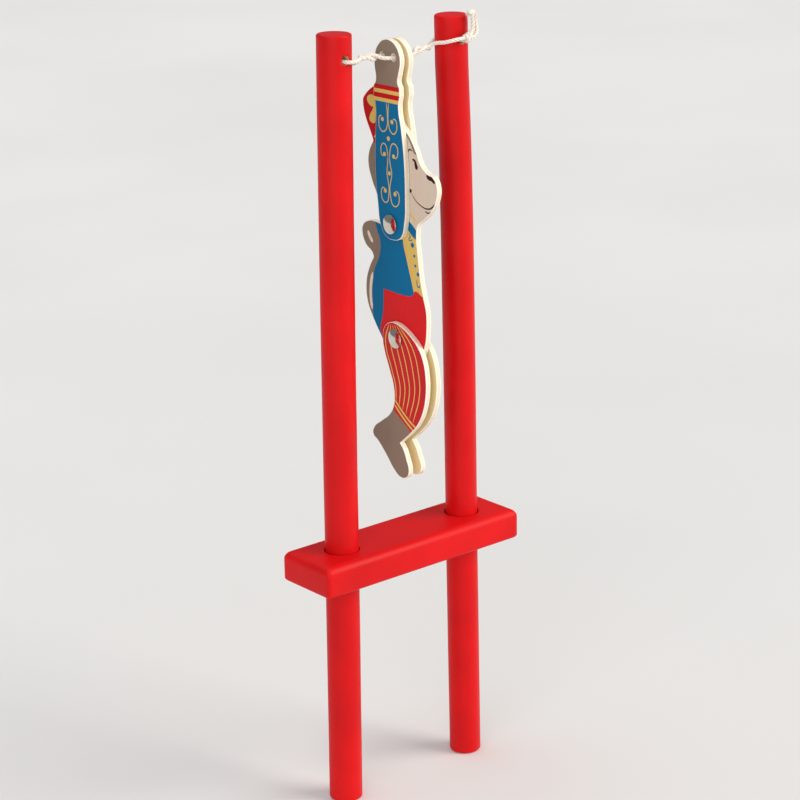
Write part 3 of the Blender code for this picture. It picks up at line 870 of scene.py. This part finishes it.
# Prints, each measured like the piece that it is on: sleeve from the string, torso from the
# shoulder rivet, leg from the hip rivet. Later ones lie over earlier ones.
SLEEVE_PRINT = [
    (ink, "band", [(-10, low), (12, low), (12, high), (-10, high)])
    for ink, low, high in (
        ("taupe", -10.7, 9), ("crimson", -12.4, -10.7), ("gold", -13.8, -12.4),
        ("crimson", -15.6, -13.8), ("gold", -17.0, -15.6),
    )
] + [
    ("gold", 0.42, [
        (1.3, -17.2), (0.8, -22.0), (1.0, -25.6), (2.2, -27.6), (3.9, -28.1), (5.4, -26.8),
        (5.8, -24.6), (5.3, -22.6), (4.0, -22.3),
    ]),
    ("gold", 0.42, [
        (0.1, -17.2), (0.5, -22.0), (0.2, -25.2), (-0.9, -27.6), (-2.5, -28.3), (-4.0, -27.2),
        (-4.5, -25.0), (-3.7, -22.9), (-2.3, -22.8),
    ]),
    ("gold", "dot", (3.7, -23.5, 0.8)),
    ("gold", "dot", (-1.7, -23.9, 0.8)),
    ("gold", "dot", (0.5, -30.4, 0.85)),
    ("gold", 0.42, [
        (0.9, -37.4), (1.4, -34.6), (2.0, -33.2), (3.2, -32.5), (4.5, -33.4), (4.9, -35.4),
        (4.3, -37.0), (3.2, -37.2),
    ]),
    ("gold", 0.42, [
        (0.1, -37.4), (-0.6, -34.0), (-1.5, -32.3), (-2.8, -31.9), (-4.3, -32.9), (-4.8, -34.9),
        (-4.1, -36.9), (-2.8, -37.4),
    ]),
    ("gold", "dot", (2.9, -36.5, 0.8)),
    ("gold", "dot", (-2.3, -36.7, 0.8)),
    ("gold", 0.42, [
        (0.9, -37.2), (1.2, -40.0), (1.6, -43.2), (1.0, -46.6), (0.6, -48.6), (0.9, -52.4),
        (1.5, -54.2), (2.9, -54.8), (4.5, -53.8), (5.1, -51.7), (4.5, -49.6), (3.1, -49.2),
    ]),
    ("gold", 0.42, [
        (0.1, -37.2), (-0.3, -40.0), (-1.1, -43.4), (-0.4, -46.6), (0.1, -48.6), (-0.3, -52.4),
        (-1.2, -54.9), (-3.0, -55.5), (-4.6, -54.4), (-5.2, -52.3), (-4.5, -50.0), (-3.1, -49.6),
    ]),
    ("gold", "dot", (0.25, -43.4, 0.8)),
    ("gold", "dot", (2.8, -50.3, 0.85)),
    ("gold", "dot", (-2.8, -50.8, 0.85)),
]
TORSO_PRINT = [
    ("beige", "shape", [
        (1.0, 41.0), (3.0, 34.0), (0.5, 28.0), (1.0, 22.0), (3.5, 16.0), (1.5, 9.0), (-3.0, 4.6),
        (-9.0, 1.2), (-13.0, -3.0), (-30.0, -2.0), (-30.0, 26.0), (-14.0, 42.0), (-4.0, 44.0),
    ]),
    ("crimson", "band", [(-4.4, 40.4), (0.0, 60.0), (24.0, 50.0), (22.0, 30.0), (11.4, 28.8)]),
    ("gold", 1.3, [(-1.6, 39.0), (4.8, 35.4), (11.6, 30.9)]),
    ("gold", "shape", [
        (15.3, 44.9), (14.2, 46.4), (11.5, 46.6), (8.6, 44.6), (8.2, 42.2), (10.2, 41.6),
        (11.4, 42.4), (13.2, 42.5),
    ]),
    ("gold", "shape", [
        (11.2, 43.4), (12.0, 41.6), (13.8, 38.9), (14.0, 37.2), (12.6, 36.2), (10.8, 36.6),
        (10.4, 38.6), (9.8, 41.6),
    ]),
    ("blue", "shape", [
        (11.5, 1.4), (4.0, 3.0), (-3.6, 2.6), (-5.4, 0.6, "c"), (-4.2, -4.8), (-6.0, -12.7),
        (-8.0, -18.8), (-9.9, -24.9, "c"), (-10.6, -27.2), (-3.6, -28.6), (5.0, -28.6, "c"),
        (5.4, -38.0), (6.4, -48.0), (8.2, -50.0, "c"), (13.3, -41.0), (14.6, -35.0),
        (14.4, -27.9), (13.0, -20.6), (9.6, -13.7), (9.2, -8.1), (11.2, -3.8),
    ]),
    ("gold", "shape", [
        (-6.2, -0.6, "c"), (-11.4, -4.4), (-22.0, -6.0), (-22.0, -27.0), (-14.7, -25.6),
        (-10.6, -24.3, "c"), (-9.9, -24.9, "c"), (-8.0, -18.8), (-6.0, -12.7), (-4.2, -4.8),
    ]),
    ("blue", "shape", [
        (-7.4, 2.4, "c"), (-10.6, 0.2), (-12.9, -1.9, "c"), (-12.0, -4.4, "c"), (-8.6, -2.6),
        (-5.9, 0.0, "c"),
    ]),
    ("scarlet", "shape", [
        (7.6, -26.8, "c"), (3.3, -26.9), (-3.6, -27.1), (-8.5, -26.5), (-9.9, -25.6, "c"),
        (-10.6, -24.3), (-14.7, -25.6), (-26.0, -27.0), (-26.0, -64.0), (12.0, -64.0),
        (12.6, -49.0), (8.2, -48.0), (9.8, -43.6), (8.2, -36.1),
    ]),
    ("blush", 1.5, [(14.0, -21.6), (15.2, -26.6), (15.4, -31.6), (14.7, -36.2)]),
    ("blush", 1.5, [(16.4, -5.6), (15.2, -7.8), (13.6, -9.8)]),
    ("gold", 0.7, [(-8.2, 8.7), (-7.8, 5.9), (-9.8, 4.0), (-12.4, 2.2)]),
    ("brown", "taper", (1.0, [(-12.4, 27.4), (-11.3, 30.0), (-9.4, 32.9), (-6.9, 35.4)])),
    ("taupe", 1.4, [(-5.9, 36.0), (-8.6, 33.4), (-10.6, 30.4), (-11.6, 28.0)]),
    ("brown", 0.55, [(-7.3, 27.2), (-7.9, 28.6), (-9.0, 29.3), (-10.1, 28.8)]),
    ("brown", "taper", (1.9, [(-10.1, 25.9), (-11.5, 25.3), (-12.1, 23.9), (-12.7, 22.3)])),
    ("brown", "shape", [
        (-17.9, 20.7), (-18.6, 21.9), (-19.9, 21.8), (-21.4, 20.4), (-22.6, 18.7), (-20.6, 19.2),
        (-18.8, 19.6),
    ]),
    ("brown", "dot", (-8.9, 13.8, 0.75)),
    ("brown", "taper", (0.75, [(-9.3, 13.2), (-11.4, 10.9), (-15.2, 8.9), (-18.4, 8.5),
                               (-20.8, 9.4), (-22.8, 11.2)])),
    ("brown", 0.5, [(-16.9, 7.4), (-18.7, 7.0), (-20.6, 7.7)]),
    ("blue", 0.45, [(-7.6, -2.6), (-8.3, -3.9), (-7.5, -4.6), (-8.6, -5.2), (-9.4, -4.4)]),
    ("blue", "dot", (-9.5, -6.7, 0.95)),
    ("blue", "dot", (-10.5, -10.7, 0.6)),
    ("blue", "dot", (-11.0, -14.4, 0.6)),
    ("blue", "dot", (-12.5, -17.4, 0.8)),
    ("blue", 0.5, [(-11.7, -19.4), (-12.0, -21.6), (-12.8, -22.4), (-13.5, -21.4)]),
]
LEG_PRINT = [
    ("gold", 0.85, [(1.4, -24.4), (-2.6, -27.8), (-7.0, -31.0), (-11.6, -33.4)]),
    ("gold", 0.85, [(1.6, -26.4), (-2.2, -29.6), (-6.0, -32.4), (-9.8, -34.8)]),
    ("taupe", "shape", [
        (3.4, -27.6, "c"), (-0.6, -30.6), (-4.4, -33.0), (-9.0, -36.0, "c"), (-9.0, -60.0),
        (20.0, -60.0), (20.0, -28.0),
    ]),
]
STRIPE_BACK = [(4.6, 4.6), (7.6, -2.0), (3.9, -13.4), (1.9, -18.8), (1.3, -24.2)]
STRIPE_FRONT = [(-3.4, 5.6), (-13.8, -2.0), (-17.1, -11.8), (-17.0, -19.0), (-11.8, -33.0)]
STRIPES = (0.07, 0.21, 0.36, 0.50, 0.66, 0.81)


def moved(points, back, up):
    """An outline moved in its own plane, with its corner marks kept."""
    return [(p[0] + back, p[1] + up, *p[2:]) for p in points]


def laid_out(prints, back, up):
    """Each print's ink and closed outline in the row frame."""
    inks, loops = [], []
    for ink, sort, shape in prints:
        if sort == "dot":
            loop = circle(shape[0], shape[1], shape[2])
        elif sort == "band":
            loop = np.array(shape, float)
        elif sort == "shape":
            loop = flowing(shape)
        elif sort == "taper":
            loop = line_of_ink(shape[1], shape[0], 0.35, 1.0)
        else:
            loop = line_of_ink(shape, sort)
        inks.append(ink)
        loops.append(loop + (back, up))
    return inks, loops


def printed_ply(name, outline, holes, prints, base, x, near, far):
    """A sheet of ply at x: its near face, toward the left pole, and its far face are printed where
    near and far say, and bare varnished birch elsewhere. The string draws the far hand in over its
    last 25 mm, as the square of the way up, and the far leg stands out evenly under its hip."""
    inks, loops = prints
    edge = rounded(-PLY / 2, PLY / 2, PLY_EDGE_ROUND, PLY_EDGE_ROUND)
    points, faces, colours = sheet_of_wood(outline, holes, loops, edge, edge)
    places = points[:, [2, 0, 1]] + (x, 0, 0)
    if x > 0:
        places[:, 0] -= HAND_DRAWN_IN * np.clip((places[:, 2] - 178) / 25, 0, 1) ** 2
        places[:, 0] += LEG_LEAN * np.clip(HIP[2] - places[:, 2], 0, None)
    order = ["bare", base, *inks]
    used = sorted(set(order))
    finishes = [PLY_EDGE, *[INKS[ink] for ink in used]]
    number = np.array([used.index(ink) + 1 for ink in order])
    count = len(colours)
    slots = np.zeros(len(faces), int)
    slots[:count] = number[colours + 1] if far else number[0]
    slots[count : 2 * count] = number[colours + 1] if near else number[0]
    smooth = np.arange(len(faces)) >= 2 * count
    return store(name, places, faces, finishes, slots, smooth, ply=points[:, 2])


def monkey():
    """Two arms, the torso and two legs, with the holes for the rivets that they swing on."""
    arm = flowing(
        moved(HAND_FRONT + HAND_BACK, STRING[1], STRING[2])
        + moved(UPPER_ARM, SHOULDER[1], SHOULDER[2])
    )
    torso = flowing(
        moved(TORSO_BACK, SHOULDER[1], SHOULDER[2]) + moved(SEAT, HIP[1], HIP[2])
        + moved(TORSO_FRONT, SHOULDER[1], SHOULDER[2])
    )
    leg = flowing(moved(LEG, HIP[1], HIP[2]))
    hand_holes = [
        circle(STRING[1] + k * HAND_HOLE_SPACING / 2, STRING[2], HAND_HOLE / 2) for k in (-1, 1)
    ]
    shoulder_hole = circle(SHOULDER[1], SHOULDER[2], RIVET_HOLE / 2)
    hip_hole = circle(HIP[1], HIP[2], RIVET_HOLE / 2)
    back, front = (np.array(side, float) for side in (STRIPE_BACK, STRIPE_FRONT))
    stripes = [
        ("gold", 0.5, [tuple(p) for p in back * (1 - f) + front * f]) for f in STRIPES
    ]
    sleeve_print = laid_out(SLEEVE_PRINT, STRING[1], STRING[2])
    leg_print = laid_out(stripes + LEG_PRINT, HIP[1], HIP[2])
    torso_print = laid_out(TORSO_PRINT, SHOULDER[1], SHOULDER[2])
    for limb, side, *shape, body in (
        ("near_arm", -1, arm, [*hand_holes, shoulder_hole], sleeve_print, "blue", "arms"),
        ("near_leg", -1, leg, [hip_hole], leg_print, "red", "near_leg"),
        ("far_arm", 1, arm, [*hand_holes, shoulder_hole], sleeve_print, "blue", "arms"),
        ("far_leg", 1, leg, [hip_hole], leg_print, "red", "far_leg"),
    ):
        x = side * (LIMB_X - LIMB_DRAWN_IN)
        made = printed_ply(f"{limb}_print", *shape, x, side < 0, side > 0)
        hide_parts(limb)
        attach(made, body)
    made = printed_ply(
        "torso_print", torso, [shoulder_hole, hip_hole], torso_print, "taupe", 0.0, True, True
    )
    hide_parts("torso")
    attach(made, "torso")


def rivets():
    """Each rivet's two heads: a shallow dome whose height falls as the square of the way out, over
    a thin lip, with the shank or sleeve under it."""
    radius, dome, lip = 3.7, 1.3, 0.25
    seat = LIMB_X + PLY / 2 + 0.3
    angle = np.linspace(0, pi / 2, 14)
    head = np.stack([radius * np.sin(angle), lip + (dome - lip) * np.cos(angle) ** 2], axis=1)
    for name, centre, body in (("shoulder", SHOULDER, "arms"), ("hip", HIP, "torso")):
        for sort, side, shank in (("post", -1, 1.3), ("cap", 1, 2.1)):
            deep = -2 * seat + 0.6 if sort == "post" else -seat + 0.3
            rolled = [(radius, 0.10), (radius - 0.15, 0.0), (shank, 0.0)]
            profile = np.vstack([head, rolled, [(shank, deep), (0.0, deep)]])
            place = (side * seat, centre[1], centre[2])
            points, faces = revolved(profile, place, (side, 0, 0))
            made = store(f"{name}_rivet_{sort}_plated", points, faces, [NICKEL])
            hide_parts(f"{name}_rivet_{sort}")
            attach(made, body)


def crossbar():
    """A flat bar with its upper edges well rounded and its lower ones just broken, and an oval slot
    for each pole. Its plan corners start as quarter circles and are squared: a point at an angle a
    round the arc's centre moves out by (cos a ^ 5 + sin a ^ 5) to the power -1/5."""
    length, depth, height = BAR[1] - BAR[0]
    turn = np.linspace(0, pi / 2, 9)
    bend, lower_edge, upper_edge, slot_edge = 3.6, 1.4, 3.2, 0.35
    corner = np.stack([bend * np.cos(turn), bend * np.sin(turn)], axis=1)
    quarter = [
        (corner * k)[::order] + (k[0] * (length / 2 - bend), k[1] * (depth / 2 - bend))
        for k, order in (((1, 1), 1), ((-1, 1), -1), ((-1, -1), 1), ((1, -1), -1))
    ]
    wide, deep = POLE_DIAMETER / 2 + SLOT_PLAY_WIDE, POLE_DIAMETER / 2 + SLOT_PLAY_DEEP
    slots = [circle(side * PIVOT[0], 0, wide, 56, deep / wide) for side in (-1, 1)]
    points, faces, _ = sheet_of_wood(
        np.vstack(quarter), slots, [], rounded(0, height, lower_edge, upper_edge, 8),
        rounded(0, height, slot_edge, slot_edge, 8),
    )
    sides = np.sign(points[:, :2])
    past = np.abs(points[:, :2]) - (length / 2 - bend, depth / 2 - bend)
    share = np.maximum(past, 1e-9) / np.linalg.norm(np.maximum(past, 1e-9), axis=1)[:, None]
    grow = (share**5).sum(axis=1, keepdims=True) ** -0.2
    points[:, :2] += np.where((past > 0).all(axis=1)[:, None], sides * past * (grow - 1), 0)
    made = store("crossbar_lacquered", points, faces, [RED_LACQUER])
    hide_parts("crossbar")
    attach(made, "frame")


def poles():
    """The left pole is the thicker; the right one has a crook that draws its top inward."""
    for name, side, length, thick, bow, crook in (
        ("left", -1, LEFT_POLE_LENGTH, 12.95, POLE_BOW, 0.0),
        ("right", 1, RIGHT_POLE_LENGTH, 12.55, POLE_BOW, CROOK),
    ):
        made = dipped_pole(f"{name}_pole_lacquered", side, length, thick, bow, crook)
        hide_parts(f"{name}_pole")
        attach(made, f"{name}_pole")
        pin = frame["nodes"][f"{name}_pivot_pin"]
        pin.data.materials.clear()
        pin.data.materials.append(STEEL)


# The string's way, in millimetres, as the solids have it: from the join at one side of the right
# pole through the hands to the left pole, through that pole, and back behind.
FRONT_RUN = [
    (14.0, -1.5, 198.5), (9.0, -2.6, 197.7), (5.0, -3.2, 197.2), (0.0, -3.2, 197.2),
    (-5.0, -3.2, 197.2), (-9.0, -2.6, 197.7), (-14.0, -1.5, 198.5), (-18.8, -3.4, 198.8),
    (-22.2, -6.3, 199.0), (-25.0, -8.0, 199.0), (-27.3, -7.8, 199.0), (-28.3, -6.4, 199.0),
    (-28.5, -4.4, 199.0), (-28.5, 0.0, 199.0), (-28.5, 4.4, 199.0), (-28.3, 6.4, 199.0),
    (-27.3, 7.8, 198.7), (-24.8, 8.0, 197.0), (-22.0, 6.3, 196.0), (-18.8, 3.6, 196.3),
    (-14.0, 1.5, 197.6), (-9.0, 2.6, 197.5), (-5.0, 3.2, 197.2), (0.0, 3.2, 197.2),
    (5.0, 3.2, 197.2), (9.0, 2.6, 197.5), (14.0, 1.5, 197.8), (18.8, 3.4, 196.8),
    (22.0, 6.3, 195.6), (24.8, 8.0, 196.4), (27.3, 7.8, 198.3), (28.3, 6.4, 199.0),
    (28.5, 4.4, 199.0),
]
KNOT = (28.6, -9.0, 200.5)
TAIL_A = [
    (27.5, 7.6, 199.0), (28.3, 6.4, 199.0), (28.5, 4.4, 199.0), (28.5, 2.0, 199.0),
    (28.5, -3.4, 199.0), (28.6, -6.4, 199.1), (29.2, -8.5, 199.9), (30.5, -9.2, 200.4),
    (31.8, -9.2, 200.9), (32.7, -9.2, 201.9),
    (33.0, -9.0, 203.4), (32.7, -8.8, 205.8), (32.4, -8.6, 208.2), (31.8, -8.4, 209.5),
    (30.8, -8.3, 209.6), (30.2, -8.2, 208.8),
]
TAIL_B = [
    (12.0, -1.9, 198.2), (14.0, -1.5, 198.5), (18.8, -3.6, 199.0), (22.2, -6.9, 199.7),
    (25.4, -8.7, 200.3), (27.2, -9.1, 200.5), (29.1, -9.3, 201.1), (30.1, -9.3, 202.2),
    (30.8, -9.2, 203.4), (31.0, -9.2, 205.0), (31.0, -9.0, 207.0), (30.9, -8.9, 208.8),
    (30.2, -8.8, 209.7), (29.5, -8.7, 209.2),
]


def lifted(path):
    """The route moved to the right pole's crooked top: its move there times the smooth step of the
    way from x = 12 to 24 mm."""
    share = np.clip((path[:, 0] - TWIST_END) / TWIST_END, 0, 1)
    share = (share * share * (3 - 2 * share))[:, None]
    return path + share * AT_RIGHT_POLE


def string():
    """The looped string in stretches that follow what they touch, the knot and the two tails."""
    whole = lifted(route(FRONT_RUN))
    # The way back starts where the string passes through the left pole.
    turn = int(np.argmin(np.abs(whole[:, 1]) + (whole[:, 0] > -20) * 99))
    laid = twined(whole)
    gone = np.append(0, np.cumsum(np.linalg.norm(np.diff(laid, axis=0), axis=1)))
    going = np.arange(len(laid)) < turn
    coming = ~going

    def stretch(name, low, high, *runs):
        """The part of each run that lies between low and high, as one piece."""
        parts = []
        for run in runs:
            picked = np.flatnonzero(run & (laid[:, 0] >= low) & (laid[:, 0] <= high))
            picked = np.arange(max(picked[0] - 1, 0), min(picked[-1] + 2, len(laid)))
            parts.append(strand(laid[picked], start=gone[picked[0]]))
        points, faces, lay = together(*parts)
        made = store(name, points, faces, [COTTON], lay=lay)
        return made

    hands = stretch("string_through_hands", -HAND_SIDE, HAND_SIDE, going, coming)
    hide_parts("string_loop")
    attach(hands, "arms")
    left = stretch("string_left_of_hands", -TWIST_END, -HAND_SIDE, going, coming)
    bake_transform(left)
    right = stretch("string_right_of_hands", HAND_SIDE, TWIST_END, going, coming)
    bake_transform(right)
    loop = stretch("string_through_left_pole", -40.0, -TWIST_END, going | coming)
    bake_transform(loop)
    behind = stretch("string_behind_right_pole", TWIST_END, 40.0, coming)
    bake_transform(behind)

    # The knot is 2.1 turns of the string round a slant.
    t = np.linspace(0, 1, 90)
    angle = 2 * pi * 2.1 * t + 0.8
    knot_path = np.array(KNOT) + AT_RIGHT_POLE + np.stack([
        2.6 * (t - 0.5), 1.15 * np.cos(angle), 1.15 * np.sin(angle) + 1.2 * (t - 0.5)
    ], axis=1)
    points, faces, lay = strand(knot_path, up=(1, 0, 0))
    knot = store("string_knot_tied", points, faces, [COTTON], lay=lay)
    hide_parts("string_knot")
    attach(knot, "right_pole")

    for name, path, up, seed in (
        ("tail_a", lifted(route(TAIL_A)), (1, 0.2, 0), 4),
        ("tail_b", twined(lifted(route(TAIL_B))), (0, 1, 0.6), 9),
    ):
        points, faces, lay = strand(path, up=up)
        tail = store(f"string_{name}_laid", points, faces, [COTTON], lay=lay)
        # Short fibres at the tip, and longer ones all the way up from where the tail stands free.
        way = path[-1] - path[-14]
        free = int(np.argmax(path[:, 2] > 204.5))
        tip = path[-1] - 0.5 * unit(way[None])[0]
        points, faces, lay = together(
            loose_fibres(tip, way, 80, 1.9, (0.0, 0.0, -0.4), seed),
            loose_fibres(path[free], path[free + 4] - path[free], 150, 6.2, (0, 0, 0), seed + 1),
        )
        fray = store(f"string_{name}_fray", points, faces, [COTTON], lay=lay)
        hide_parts(f"string_{name}")
        if name == "tail_a":
            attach(tail, "right_pole")
        else:
            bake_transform(tail)
        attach(fray, "right_pole")


def lamp(name, toward, spread, power, colour):
    """An even soft light from far off in one direction, as wide as its spread in degrees."""
    light = bpy.data.lights.new(name, "SUN")
    light.angle = radians(spread)
    light.energy = power
    light.color = linear(colour)[:3]
    made = bpy.data.objects.new(name, light)
    made.matrix_world = Vector(toward).to_track_quat("Z", "Y").to_matrix().to_4x4()
    bpy.context.scene.collection.objects.link(made)


def studio():
    """A sheet of pale paper under the poles, a wide key to the front right, a soft overhead, a weak
    fill from the front left, and an even grey surround."""
    span = np.array([[-1, -1], [1, -1], [1, 1], [-1, 1]]) * 4000.0
    points = np.hstack([span, np.full((4, 1), FLOOR - 0.05)])
    floor = store("studio_floor", points, [[0, 1, 2, 3]], [studio_floor()])
    lamp("key_light", (0.62, -0.72, 0.55), 45, 2.45, "#fffaf4")
    lamp("overhead_light", (-0.1, 0.2, 1.0), 70, 1.1, "#ffffff")
    lamp("fill_light", (-0.78, -0.60, 0.25), 60, 1.6, "#f8faff")
    world = bpy.data.worlds.new("grey_surround")
    bpy.context.scene.world = world
    world.use_nodes = True
    sky = world.node_tree.nodes["Background"]
    sky.inputs["Color"].default_value = linear("#dfe2e6")
    sky.inputs["Strength"].default_value = 0.30
    bpy.context.scene.view_settings.view_transform = "Standard"


string()
monkey()
rivets()
crossbar()
poles()
studio()
